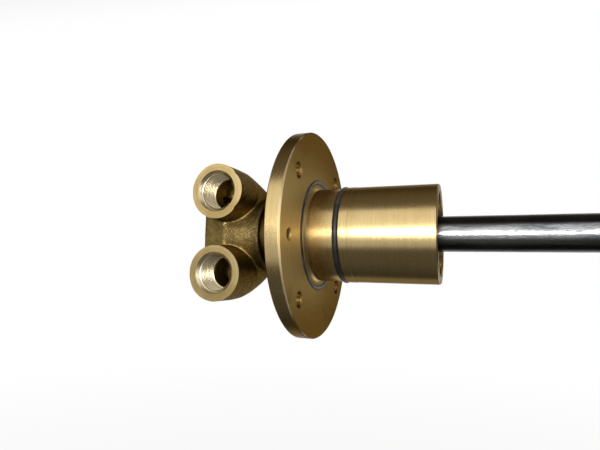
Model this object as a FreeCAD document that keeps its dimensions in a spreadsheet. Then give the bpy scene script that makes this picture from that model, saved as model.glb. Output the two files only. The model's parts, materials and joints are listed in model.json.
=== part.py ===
import FreeCAD
import Part
import Sketcher
import math
import os
import re

# Recessed two-way rotary union, in millimetres.
# The origin is the centre of the flange's machine face. +X runs along the axis towards the siphon
# pipe, -Y is the side that both ports face, and +Z is up.

PARTS_FOLDER = "parts"
SIZES = {
    # Flange
    "flange_radius": 75.0,
    "flange_thickness": 10.5,
    "flange_chamfer": 0.8,
    "flange_turn": 3.2,              # degrees that the flange is turned from the ports at rest
    "bolt_edge_distance": 15.0,      # from the flange's rim to the bolt circle
    "bolt_hole_radius": 5.25,        # clearance for M10
    "bolt_hole_count": 4,
    "bolt_hole_chamfer": 0.5,
    "jack_thread_radius": 3.4,       # minor radius of M8
    "jack_chamfer": 0.8,
    # Face seal round the root of the barrel
    "face_groove_radius": 38.9,
    "face_groove_width": 3.5,
    "face_groove_depth": 2.3,
    "face_oring_section": 3.1,
    # Barrel
    "barrel_length": 86.2,
    "barrel_radius": 34.0,
    "barrel_root_relief": 0.6,
    "barrel_root_fillet": 1.5,
    "land_rise": 0.15,
    "land_width": 6.0,
    "barrel_groove_setback": 19.3,
    "barrel_groove_width": 4.3,
    "barrel_groove_depth": 2.8,
    "barrel_oring_section": 3.5,
    "mouth_radius": 29.0,
    "mouth_lip": 5.8,
    "mouth_chamfer": 0.8,
    # Ball bearings
    "bearing_outer_radius": 27.5,
    "bearing_inner_radius": 17.5,
    "bearing_width": 10.0,
    "ring_gap": 3.85,                # between the bearing's two rings
    "ring_chamfer": 0.6,
    "ball_radius": 3.0,
    "ball_count": 14,
    "ball_clearance": 0.05,
    "cage_width": 7.6,
    "cage_wall": 2.2,
    "pocket_clearance": 0.15,
    "outer_spacer_wall": 2.5,
    "inner_spacer_wall": 2.5,
    "spacer_clearance": 0.03,
    "shoulder_width": 3.0,
    "shoulder_height": 3.0,
    # Retaining rings
    "bearing_circlip_thickness": 2.0,
    "seat_circlip_thickness": 2.0,
    "spindle_circlip_thickness": 1.5,
    "circlip_groove_depth": 1.5,
    "circlip_width": 3.3,
    "circlip_gap_angle": 26.0,
    "circlip_lug_radius": 2.2,
    "circlip_eye_radius": 1.1,
    "circlip_play": 0.08,
    "spindle_groove_depth": 1.0,
    # Lip seal at the flange
    "lip_seal_recess": 0.3,
    "lip_seal_width": 7.0,
    "lip_seal_gap": 1.0,
    "lip_seal_wall": 1.9,
    "lip_clearance": 0.05,
    "lip_back_gap": 1.0,
    "lip_front_gap": 0.8,
    "lip_thickness": 0.8,
    "lip_root_rise": 0.4,
    "garter_section": 1.2,
    "garter_shift": 0.6,
    "garter_rise": 2.1,
    # Spindle
    "spindle_bore_radius": 14.5,
    "journal_radius": 20.0,
    "spindle_collar_radius": 22.5,
    "spindle_collar_width": 3.0,
    "spindle_thread_length": 15.0,
    "spindle_thread_clearance": 0.05,
    "spindle_end_setback": 0.8,
    "spindle_chamfer": 1.0,
    "head_gap": 3.5,
    "gasket_thickness": 1.0,
    # Face seal in the mouth
    "collar_width": 6.0,
    "collar_gap": 0.6,
    "collar_radius": 25.5,
    "pin_circle_radius": 23.3,
    "pin_radius": 1.4,
    "pin_inset": 0.5,
    "pin_engagement": 4.0,
    "pin_clearance": 0.15,
    "pin_end_gap": 0.5,
    "screw_radius": 2.5,
    "screw_socket_width": 2.5,
    "screw_socket_depth": 2.0,
    "screw_sink": 0.3,
    "drill_play": 0.02,
    "seal_edge_bevel": 0.4,
    "spring_length": 8.0,
    "spring_wire_radius": 0.9,
    "spring_clearance": 0.6,
    "spring_turns": 3.0,
    "carbon_width": 7.0,
    "carbon_nose_length": 2.0,
    "carbon_nose_inner": 19.0,
    "carbon_nose_outer": 22.5,
    "carbon_clearance": 0.06,
    "carbon_travel": 1.5,
    "carbon_groove_width": 3.2,
    "carbon_oring_section": 2.6,
    "seat_width": 7.5,
    "seat_bore_radius": 17.0,
    "seat_bore_chamfer": 1.0,
    "seat_groove_width": 3.4,
    "seat_oring_section": 2.8,
    "oring_play": 0.03,
    # Port head
    "port_setback": 44.0,            # from the neck's face to the ports' centres
    "port_spacing": 57.5,
    "port_reach": 45.0,
    "boss_radius": 19.5,
    "bend_radius": 20.0,
    "bend_angle": 45.0,
    "bend_run": 11.0,
    "bend_end_radius": 13.6,
    "hub_radius": 28.0,
    "hub_round": 4.0,
    "hub_overhang": 12.0,
    "web_inset": 0.4,
    "web_setback": 3.0,
    "web_corner_radius": 12.0,
    "web_back": 12.0,
    "web_round": 8.0,
    "neck_radius": 24.5,
    "neck_length": 19.0,
    "neck_chamfer": 1.0,
    "port_thread_radius": 12.05,     # minor radius of a 3/4 inch pipe thread
    "port_thread_depth": 18.0,
    "port_chamfer": 2.7,
    "cavity_radius": 11.0,
    "cavity_depth": 37.0,
    "return_passage_radius": 9.5,
    "supply_slot_width": 9.0,
    "supply_slot_length": 24.0,
    "supply_slot_shift": 4.0,
    "supply_slot_margin": 0.5,
    "cavity_taper": 4.0,
    "supply_chamber_radius": 11.0,
    "return_chamber_radius": 16.0,
    "head_wall": 4.75,
    "partition_thickness": 7.0,
    # Siphon pipe
    "pipe_radius": 12.0,
    "pipe_wall": 2.0,
    "pipe_free_length": 173.8,       # from the barrel's mouth to the pipe's open end
    "pipe_foot_length": 30.0,        # turned down for the bush that holds the far end
    "pipe_foot_step": 0.5,
    "pipe_chamfer": 0.5,
    "pipe_clearance": 0.05,
    "pipe_oring_section": 2.6,
    "pipe_groove_width": 3.2,
}

# Places and sizes that follow from the driving ones
DERIVED = {
    "flange_back": "0 - flange_thickness",
    "bolt_circle_radius": "flange_radius - bolt_edge_distance",
    "root_radius": "barrel_radius - barrel_root_relief",
    "barrel_groove_floor": "barrel_radius - barrel_groove_depth",
    "barrel_groove_end": "barrel_groove_setback + barrel_groove_width",
    "bearing_circlip_start": "flange_back + lip_seal_recess + lip_seal_width + lip_seal_gap",
    "rear_bearing_start": "bearing_circlip_start + bearing_circlip_thickness",
    "outer_groove_floor": "bearing_outer_radius + circlip_groove_depth",
    "seat_circlip_end": "barrel_length - mouth_lip",
    "seat_circlip_start": "seat_circlip_end - seat_circlip_thickness",
    "mouth_groove_floor": "mouth_radius + circlip_groove_depth",
    "seat_start": "seat_circlip_start - seat_width",
    "carbon_end": "seat_start - carbon_nose_length",
    "carbon_start": "carbon_end - carbon_width",
    "spring_start": "carbon_start - spring_length",
    "collar_start": "spring_start - collar_width",
    "shoulder_end": "collar_start - collar_gap",
    "front_bearing_end": "shoulder_end - shoulder_width",
    "front_bearing_start": "front_bearing_end - bearing_width",
    "spacer_start": "rear_bearing_start + bearing_width",
    "shoulder_radius": "bearing_outer_radius - shoulder_height",
    "pitch_radius": "(bearing_outer_radius + bearing_inner_radius) / 2",
    "race_radius": "ball_radius + ball_clearance",
    "spindle_end": "carbon_end - spindle_end_setback",
    "spindle_collar_end": "flange_back - head_gap",
    "spindle_collar_start": "spindle_collar_end - spindle_collar_width",
    "neck_face": "spindle_collar_start - gasket_thickness",
    "thread_end": "neck_face - spindle_thread_length",
    "hub_end": "neck_face - neck_length",
    "port_along": "neck_face - port_setback",
    "port_height": "port_spacing / 2",
    "head_left": "port_along - boss_radius + web_inset",
    "supply_left": "head_left + head_wall",
    "supply_right": "supply_left + supply_slot_width + supply_slot_margin",
    "partition_end": "supply_right + partition_thickness",
    "pipe_start": "supply_right + pipe_clearance",
    "pipe_end": "barrel_length + pipe_free_length",
    "pipe_socket_radius": "pipe_radius + pipe_clearance",
    "pipe_bore_radius": "pipe_radius - pipe_wall",
    "pipe_foot_radius": "pipe_radius - pipe_foot_step",
    "pipe_groove_start": "(supply_right + partition_end - pipe_groove_width) / 2",
    "pin_end": "carbon_start + pin_engagement",
    "carbon_bore_radius": "bearing_inner_radius + carbon_clearance",
    "carbon_groove_start": "carbon_start + (carbon_width - carbon_groove_width) / 2",
    "carbon_groove_floor": "bearing_inner_radius + carbon_oring_section + 2 * oring_play",
    "seat_outer_radius": "mouth_radius - oring_play",
    "seat_groove_start": "seat_start + (seat_width - seat_groove_width) / 2",
    "seat_groove_floor": "mouth_radius - seat_oring_section - 2 * oring_play",
    "spring_radius": "bearing_inner_radius + spring_clearance + spring_wire_radius",
}

doc = FreeCAD.newDocument("rotary_union")
nodes = []


def make_sheet():
    """Writes the driving sizes into a spreadsheet, one named cell each."""
    sheet = doc.addObject("Spreadsheet::Sheet", "sizes")
    for row, (name, size) in enumerate(SIZES.items(), start=1):
        sheet.set(f"A{row}", name)
        sheet.set(f"B{row}", str(size))
        sheet.setAlias(f"B{row}", name)
    doc.recompute()
    return sheet


def expand(formula):
    """Writes a formula out in terms of the sheet's cells."""
    def swap(match):
        name = match.group(0)
        if name in DERIVED:
            return "(" + expand(DERIVED[name]) + ")"
        if name in SIZES:
            return "sizes." + name
        return name
    return re.sub(r"[a-z]\w*", swap, str(formula))


def value(formula):
    """Works a formula out as a number."""
    return float(sheet.evalExpression(expand(formula)))


def bind(target, **formulas):
    """Binds properties to formulas; a double underscore stands for a dot."""
    for name, formula in formulas.items():
        target.setExpression(name.replace("__", "."), expand(formula))


def own_node(item):
    """Keeps an object as one of the pieces that are written out."""
    nodes.append(item)
    return item


# Sketches and PartDesign bodies

def origin_feature(body, role):
    return next(item for item in body.Origin.OriginFeatures if item.Role == role)


def new_sketch(body, name, role="XY_Plane"):
    sketch = body.newObject("Sketcher::SketchObject", name)
    sketch.AttachmentSupport = [(origin_feature(body, role), "")]
    sketch.MapMode = "FlatFace"
    return sketch


def fix_distance(sketch, kind, geometry, vertex, formula):
    """Holds one vertex of a sketch at a distance from the sketch's origin."""
    index = sketch.addConstraint(
        Sketcher.Constraint(kind, -1, 1, geometry, vertex, value(formula)))
    sketch.setExpression(f"Constraints[{index}]", expand(formula))


def fix_point(sketch, geometry, vertex, across, up):
    """Places one vertex of a sketch by two formulas."""
    fix_distance(sketch, "DistanceX", geometry, vertex, across)
    fix_distance(sketch, "DistanceY", geometry, vertex, up)


def add_polygon(sketch, outline):
    """Adds a closed polygon whose corners are pairs of formulas."""
    corners = [FreeCAD.Vector(value(across), value(up), 0) for across, up in outline]
    lines = [
        sketch.addGeometry(Part.LineSegment(corner, corners[(index + 1) % len(corners)]), False)
        for index, corner in enumerate(corners)
    ]
    for index, line in enumerate(lines):
        following = lines[(index + 1) % len(lines)]
        sketch.addConstraint(Sketcher.Constraint("Coincident", line, 2, following, 1))
    for line, (across, up) in zip(lines, outline):
        fix_point(sketch, line, 1, across, up)


def add_circle(sketch, radius, across="0", up="0"):
    """Adds a circle whose centre and radius are formulas."""
    centre = FreeCAD.Vector(value(across), value(up), 0)
    circle = sketch.addGeometry(Part.Circle(centre, FreeCAD.Vector(0, 0, 1), value(radius)), False)
    fix_point(sketch, circle, 3, across, up)
    index = sketch.addConstraint(Sketcher.Constraint("Radius", circle, value(radius)))
    sketch.setExpression(f"Constraints[{index}]", expand(radius))


def revolve(body, kind, name, outline):
    """Turns an outline of (along, radius) pairs about the X axis."""
    sketch = new_sketch(body, name + "_outline")
    add_polygon(sketch, outline)
    feature = body.newObject(kind, name)
    feature.Profile = sketch
    feature.ReferenceAxis = (sketch, ["H_Axis"])
    feature.Angle = 360
    return feature


def new_body(label):
    body = doc.addObject("PartDesign::Body", label)
    return own_node(body)


def turned_body(label, outline):
    body = new_body(label)
    revolve(body, "PartDesign::Revolution", label + "_turned", outline)
    return body


def ring_outline(start, end, inner, outer, bevel):
    """Outline of a plain ring whose four corners are bevelled."""
    return [
        (f"{start} + {bevel}", inner), (f"{end} - {bevel}", inner),
        (end, f"{inner} + {bevel}"), (end, f"{outer} - {bevel}"),
        (f"{end} - {bevel}", outer), (f"{start} + {bevel}", outer),
        (start, f"{outer} - {bevel}"), (start, f"{inner} + {bevel}"),
    ]


def drill(body, name, start, depth, radius, circle_radius, angle, count):
    """Pockets round holes along +X, from the plane at start, repeated evenly about the axis."""
    sketch = new_sketch(body, name + "_circle", "YZ_Plane")
    bind(sketch, AttachmentOffset__Base__z=start)
    sketch.recompute()
    add_circle(sketch, radius, f"{circle_radius} * cos({angle})", f"{circle_radius} * sin({angle})")
    pocket = body.newObject("PartDesign::Pocket", name)
    pocket.Profile = sketch
    pocket.Reversed = True
    bind(pocket, Length=depth)
    doc.recompute()
    if count != "1":
        pattern = body.newObject("PartDesign::PolarPattern", name + "_round")
        pattern.Originals = [pocket]
        pattern.Axis = (origin_feature(body, "X_Axis"), [""])
        pattern.Angle = 360
        bind(pattern, Occurrences=count)
        body.Tip = pattern
    return pocket


# Plain Part shapes

AXIS_TO_X = FreeCAD.Rotation(FreeCAD.Vector(0, 1, 0), 90)


def place_along(item, along):
    """Turns a Part primitive's axis to +X and puts its base at a place on the X axis."""
    item.Placement = FreeCAD.Placement(FreeCAD.Vector(0, 0, 0), AXIS_TO_X)
    bind(item, Placement__Base__x=along)


def boolean(kind, name, base, tool):
    item = doc.addObject(kind, name)
    item.Base = base
    item.Tool = tool
    return item


def cylinder(name, along, length, radius, angle="360"):
    item = doc.addObject("Part::Cylinder", name)
    bind(item, Radius=radius, Height=length, Angle=angle)
    place_along(item, along)
    return item


def tube(name, along, length, inner, outer, angle="360"):
    outside = cylinder(name + "_outside", along, length, outer, angle)
    inside = cylinder(name + "_inside", f"{along} - 1", f"{length} + 2", inner)
    return boolean("Part::Cut", name, outside, inside)


def oring(label, along, radius, section):
    item = doc.addObject("Part::Torus", label)
    bind(item, Radius1=radius, Radius2=f"({section}) / 2")
    place_along(item, along)
    return own_node(item)


def circlip(label, along, thickness, inner, outer, lug_circle):
    """Open ring with an eyed lug at each end; the gap points to -Z."""
    ring = tube(label + "_ring", along, thickness, inner, outer, "360 - circlip_gap_angle")
    lugs = []
    eyes = []
    rounds = ((lugs, "circlip_lug_radius", "lug"), (eyes, "circlip_eye_radius", "eye"))
    for name, angle in (("first", "0"), ("last", "360 - circlip_gap_angle")):
        for group, radius, kind in rounds:
            item = cylinder(f"{label}_{name}_{kind}", along, thickness, radius)
            bind(item, Placement__Base__y=f"({lug_circle}) * sin({angle})",
                 Placement__Base__z=f"0 - ({lug_circle}) * cos({angle})")
            group.append(item)
    solid = doc.addObject("Part::MultiFuse", label + "_blank")
    solid.Shapes = [ring] + lugs
    holes = doc.addObject("Part::Compound", label + "_eyes")
    holes.Links = eyes
    return own_node(boolean("Part::Cut", label, solid, holes))


# Flanged barrel and its outside seals

def flanged_barrel():
    body = turned_body("flanged_barrel", [
        ("flange_back", "bearing_outer_radius + ring_chamfer"),
        ("flange_back", "flange_radius - flange_chamfer"),
        ("flange_back + flange_chamfer", "flange_radius"),
        ("0 - flange_chamfer", "flange_radius"),
        ("0", "flange_radius - flange_chamfer"),
        ("0", "face_groove_radius + face_groove_width / 2"),
        ("0 - face_groove_depth", "face_groove_radius + face_groove_width / 2"),
        ("0 - face_groove_depth", "face_groove_radius - face_groove_width / 2"),
        ("0", "face_groove_radius - face_groove_width / 2"),
        ("0", "root_radius + barrel_root_fillet"),
        ("barrel_root_fillet", "root_radius"),
        ("barrel_groove_setback", "root_radius"),
        ("barrel_groove_setback", "barrel_groove_floor"),
        ("barrel_groove_end", "barrel_groove_floor"),
        ("barrel_groove_end", "barrel_radius + land_rise"),
        ("barrel_groove_end + land_width", "barrel_radius + land_rise"),
        ("barrel_groove_end + land_width + land_rise", "barrel_radius"),
        ("barrel_length - mouth_chamfer", "barrel_radius"),
        ("barrel_length", "barrel_radius - mouth_chamfer"),
        ("barrel_length", "mouth_radius + mouth_chamfer"),
        ("barrel_length - mouth_chamfer", "mouth_radius"),
        ("seat_circlip_end + circlip_play", "mouth_radius"),
        ("seat_circlip_end + circlip_play", "mouth_groove_floor"),
        ("seat_circlip_start", "mouth_groove_floor"),
        ("seat_circlip_start", "mouth_radius"),
        ("seat_start", "mouth_radius"),
        ("seat_start", "bearing_outer_radius"),
        ("shoulder_end", "bearing_outer_radius"),
        ("shoulder_end", "shoulder_radius"),
        ("front_bearing_end", "shoulder_radius"),
        ("front_bearing_end", "bearing_outer_radius"),
        ("rear_bearing_start", "bearing_outer_radius"),
        ("rear_bearing_start", "outer_groove_floor"),
        ("bearing_circlip_start - circlip_play", "outer_groove_floor"),
        ("bearing_circlip_start - circlip_play", "bearing_outer_radius"),
        ("flange_back + ring_chamfer", "bearing_outer_radius"),
    ])
    drill(body, "bolt_holes", "flange_back - 1", "flange_thickness + 2", "bolt_hole_radius",
          "bolt_circle_radius", "flange_turn + 180 / bolt_hole_count", "bolt_hole_count")
    drill(body, "bolt_hole_bevels", "0 - bolt_hole_chamfer", "bolt_hole_chamfer + 1",
          "bolt_hole_radius + bolt_hole_chamfer", "bolt_circle_radius",
          "flange_turn + 180 / bolt_hole_count", "bolt_hole_count")
    drill(body, "jack_holes", "flange_back - 1", "flange_thickness + 2", "jack_thread_radius",
          "bolt_circle_radius", "flange_turn", "2")
    drill(body, "jack_hole_bevels", "0 - jack_chamfer", "jack_chamfer + 1",
          "jack_thread_radius + jack_chamfer", "bolt_circle_radius", "flange_turn", "2")
    return body


def outside_seals():
    oring("flange_face_oring", "face_oring_section / 2 + oring_play - face_groove_depth",
          "face_groove_radius", "face_oring_section")
    oring("barrel_oring", "barrel_groove_setback + barrel_groove_width / 2",
          "barrel_groove_floor + barrel_oring_section / 2 + oring_play", "barrel_oring_section")


# Bearings

def race(label, start, inner, outer):
    """One ring of a bearing, with the ball track turned into it."""
    end = f"{start} + bearing_width"
    body = turned_body(label, ring_outline(start, end, inner, outer, "ring_chamfer"))
    sketch = new_sketch(body, label + "_track_circle")
    add_circle(sketch, "race_radius", f"{start} + bearing_width / 2", "pitch_radius")
    track = body.newObject("PartDesign::Groove", label + "_track")
    track.Profile = sketch
    track.ReferenceAxis = (sketch, ["H_Axis"])
    track.Angle = 360
    return body


def ring_of_spheres(name, middle, radius):
    """As many spheres as there are balls, evenly spaced on the pitch circle."""
    spheres = []
    for index in range(int(value("ball_count"))):
        sphere = doc.addObject("Part::Sphere", f"{name}_{index + 1}")
        angle = f"{index} * 360 / ball_count"
        bind(sphere, Radius=radius, Placement__Base__x=middle,
             Placement__Base__y=f"pitch_radius * cos({angle})",
             Placement__Base__z=f"pitch_radius * sin({angle})")
        spheres.append(sphere)
    group = doc.addObject("Part::Compound", name)
    group.Links = spheres
    return group


def bearing(side, start):
    middle = f"{start} + bearing_width / 2"
    race(f"{side}_bearing_outer_ring", start, "pitch_radius + ring_gap / 2", "bearing_outer_radius")
    race(f"{side}_bearing_inner_ring", start, "bearing_inner_radius", "pitch_radius - ring_gap / 2")
    own_node(ring_of_spheres(f"{side}_bearing_balls", middle, "ball_radius"))
    ring = tube(f"{side}_cage_ring", f"{middle} - cage_width / 2", "cage_width",
                "pitch_radius - cage_wall / 2", "pitch_radius + cage_wall / 2")
    pockets = ring_of_spheres(f"{side}_cage_pockets", middle, "ball_radius + pocket_clearance")
    own_node(boolean("Part::Cut", f"{side}_bearing_cage", ring, pockets))


def bearing_set():
    bearing("rear", "rear_bearing_start")
    bearing("front", "front_bearing_start")
    turned_body("outer_bearing_spacer", ring_outline(
        "spacer_start", "front_bearing_start", "bearing_outer_radius - outer_spacer_wall",
        "bearing_outer_radius - spacer_clearance", "ring_chamfer"))
    turned_body("inner_bearing_spacer", ring_outline(
        "spacer_start", "front_bearing_start", "bearing_inner_radius + spacer_clearance",
        "bearing_inner_radius + inner_spacer_wall", "ring_chamfer"))
    circlip("bearing_circlip", "bearing_circlip_start", "bearing_circlip_thickness",
            "outer_groove_floor - circlip_width", "outer_groove_floor - circlip_play",
            "outer_groove_floor - circlip_width")
    circlip("spindle_circlip", "front_bearing_end", "spindle_circlip_thickness",
            "bearing_inner_radius - spindle_groove_depth + circlip_play",
            "bearing_inner_radius - spindle_groove_depth + circlip_width",
            "bearing_inner_radius - spindle_groove_depth + circlip_width")


def lip_seal():
    start = "flange_back + lip_seal_recess"
    end = f"{start} + lip_seal_width"
    turned_body("lip_seal", [
        (start, "bearing_outer_radius - oring_play"),
        (start, "journal_radius + lip_back_gap"),
        (f"{end} - lip_seal_width / 2", "journal_radius + lip_clearance"),
        (f"{end} - lip_seal_wall", "journal_radius + lip_front_gap"),
        (f"{end} - lip_seal_wall", "journal_radius + lip_front_gap + lip_thickness"),
        (f"{start} + lip_seal_wall", "journal_radius + lip_front_gap + lip_thickness + lip_root_rise"),
        (f"{start} + lip_seal_wall", "bearing_outer_radius - lip_seal_wall"),
        (end, "bearing_outer_radius - lip_seal_wall"),
        (end, "bearing_outer_radius - oring_play"),
    ])
    oring("lip_seal_garter_spring", f"{end} - lip_seal_width / 2 + garter_shift",
          "journal_radius + garter_rise + garter_section / 2", "garter_section")


# Spindle, head and pipe

def hollow_spindle():
    turned_body("hollow_spindle", [
        ("thread_end", "spindle_bore_radius"),
        ("thread_end", "bearing_inner_radius - spindle_chamfer"),
        ("thread_end + spindle_chamfer", "bearing_inner_radius"),
        ("spindle_collar_start", "bearing_inner_radius"),
        ("spindle_collar_start", "spindle_collar_radius"),
        ("spindle_collar_end", "spindle_collar_radius"),
        ("spindle_collar_end", "journal_radius"),
        ("rear_bearing_start", "journal_radius"),
        ("rear_bearing_start", "bearing_inner_radius"),
        ("front_bearing_end", "bearing_inner_radius"),
        ("front_bearing_end", "bearing_inner_radius - spindle_groove_depth"),
        ("front_bearing_end + spindle_circlip_thickness + circlip_play",
         "bearing_inner_radius - spindle_groove_depth"),
        ("front_bearing_end + spindle_circlip_thickness + circlip_play", "bearing_inner_radius"),
        ("spindle_end - spindle_chamfer", "bearing_inner_radius"),
        ("spindle_end", "bearing_inner_radius - spindle_chamfer"),
        ("spindle_end", "spindle_bore_radius"),
    ])
    turned_body("spindle_gasket", [
        ("neck_face", "bearing_inner_radius + spindle_thread_clearance"),
        ("spindle_collar_start", "bearing_inner_radius + spindle_thread_clearance"),
        ("spindle_collar_start", "spindle_collar_radius"),
        ("neck_face", "spindle_collar_radius"),
    ])


def bend_path(body, name, side):
    """Centre line of one bent arm of the casting: a quarter turn and a straight run to the hub."""
    sketch = new_sketch(body, name)
    turn = FreeCAD.Rotation(FreeCAD.Vector(0, side, 0), value("bend_angle"))
    sketch.AttachmentOffset = FreeCAD.Placement(FreeCAD.Vector(0, 0, 0), turn)
    bind(sketch, AttachmentOffset__Base__x="port_along",
         AttachmentOffset__Base__z=f"{side} * port_height",
         AttachmentOffset__Rotation__Angle="bend_angle")
    bend = value("bend_radius")
    reach = value("bend_radius + bend_run")
    arc = Part.ArcOfCircle(
        Part.Circle(FreeCAD.Vector(bend, -bend, 0), FreeCAD.Vector(0, 0, 1), bend),
        math.pi / 2, math.pi)
    quarter = sketch.addGeometry(arc, False)
    run = sketch.addGeometry(
        Part.LineSegment(FreeCAD.Vector(bend, 0, 0), FreeCAD.Vector(reach, 0, 0)), False)
    sketch.addConstraint(Sketcher.Constraint("Coincident", quarter, 1, run, 1))
    fix_distance(sketch, "DistanceY", quarter, 2, "0 - bend_radius")
    fix_point(sketch, quarter, 3, "bend_radius", "0 - bend_radius")
    fix_point(sketch, run, 1, "bend_radius", "0")
    fix_point(sketch, run, 2, "bend_radius + bend_run", "0")
    return sketch


def start_circle(body, name, side, radius):
    """Circle square to the port's axis, where the bend begins."""
    sketch = new_sketch(body, name, "XZ_Plane")
    bind(sketch, AttachmentOffset__Base__z="bend_radius")
    add_circle(sketch, radius, "port_along", f"{side} * port_height")
    return sketch


def end_circle(body, name, side, radius):
    """Circle square to the straight run, at its far end."""
    sketch = new_sketch(body, name, "YZ_Plane")
    turn = FreeCAD.Rotation(FreeCAD.Vector(side, 0, 0), value("bend_angle"))
    sketch.AttachmentOffset = FreeCAD.Placement(FreeCAD.Vector(0, 0, 0), turn)
    bind(sketch, AttachmentOffset__Rotation__Angle="bend_angle",
         AttachmentOffset__Base__z="port_along + (bend_radius + bend_run) * cos(bend_angle)",
         AttachmentOffset__Base__y=f"{side} * (port_height - (bend_radius + bend_run) * sin(bend_angle))")
    add_circle(sketch, radius)
    return sketch


def sweep_arm(body, kind, name, side, radius, end_radius=None):
    """Sweeps a round section along one arm's centre line, tapering to end_radius if there is one."""
    sweep = body.newObject(kind, name)
    sweep.Profile = start_circle(body, name + "_start", side, radius)
    sweep.Spine = bend_path(body, name + "_path", side)
    if end_radius:
        sweep.Sections = [end_circle(body, name + "_end", side, end_radius)]
        sweep.Transformation = "Multisection"
    doc.recompute()
    return sweep


def mirror_up_down(body, name, feature):
    mirror = body.newObject("PartDesign::Mirrored", name)
    mirror.Originals = [feature]
    mirror.MirrorPlane = (origin_feature(body, "XY_Plane"), [""])
    body.Tip = mirror
    doc.recompute()
    return mirror


def web_outline(body):
    """Plate with two rounded corners, flush with the bosses on the left."""
    sketch = new_sketch(body, "web_outline", "XZ_Plane")
    bind(sketch, AttachmentOffset__Base__z="0 - web_back")
    corner = value("web_corner_radius")
    height = value("port_height")
    along = value("head_left + web_corner_radius")
    end = value("port_along - web_setback")
    arcs = []
    for side, start, stop in ((1, math.pi / 2, math.pi), (-1, -math.pi, -math.pi / 2)):
        circle = Part.Circle(FreeCAD.Vector(along, side * height, 0), FreeCAD.Vector(0, 0, 1), corner)
        arcs.append(sketch.addGeometry(Part.ArcOfCircle(circle, start, stop), False))
    upper, lower = arcs
    corners = [
        FreeCAD.Vector(along - corner, height, 0), FreeCAD.Vector(along - corner, -height, 0),
        FreeCAD.Vector(along, -height - corner, 0), FreeCAD.Vector(end, -height - corner, 0),
        FreeCAD.Vector(end, height + corner, 0), FreeCAD.Vector(along, height + corner, 0),
    ]
    left, low, right, top = (
        sketch.addGeometry(Part.LineSegment(corners[first], corners[last]), False)
        for first, last in ((0, 1), (2, 3), (3, 4), (4, 5)))
    for joint in ((upper, 2, left, 1), (left, 2, lower, 1), (lower, 2, low, 1),
                  (low, 2, right, 1), (right, 2, top, 1), (top, 2, upper, 1)):
        sketch.addConstraint(Sketcher.Constraint("Coincident", *joint))
    outer = "port_height + web_corner_radius"
    for arc, side, left_vertex, outer_vertex in ((upper, 1, 2, 1), (lower, -1, 1, 2)):
        fix_point(sketch, arc, 3, "head_left + web_corner_radius", f"{side} * port_height")
        fix_distance(sketch, "DistanceX", arc, left_vertex, "head_left")
        fix_distance(sketch, "DistanceY", arc, left_vertex, f"{side} * port_height")
        fix_distance(sketch, "DistanceX", arc, outer_vertex, "head_left + web_corner_radius")
    fix_point(sketch, right, 1, "port_along - web_setback", f"0 - ({outer})")
    fix_point(sketch, right, 2, "port_along - web_setback", outer)
    return sketch


def round_web_back(body, web):
    """Rounds the back edges of the web that face away from the ports."""
    back = value("web_back")
    inner = value("port_along - web_setback")
    edges = [
        f"Edge{index + 1}" for index, edge in enumerate(web.Shape.Edges)
        if abs(edge.BoundBox.YMin - back) < 0.01 and abs(edge.BoundBox.YMax - back) < 0.01
        and edge.BoundBox.XMin < inner - 1
    ]
    fillet = body.newObject("PartDesign::Fillet", "web_back_round")
    fillet.Base = (web, edges)
    bind(fillet, Radius="web_round")
    doc.recompute()


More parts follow.
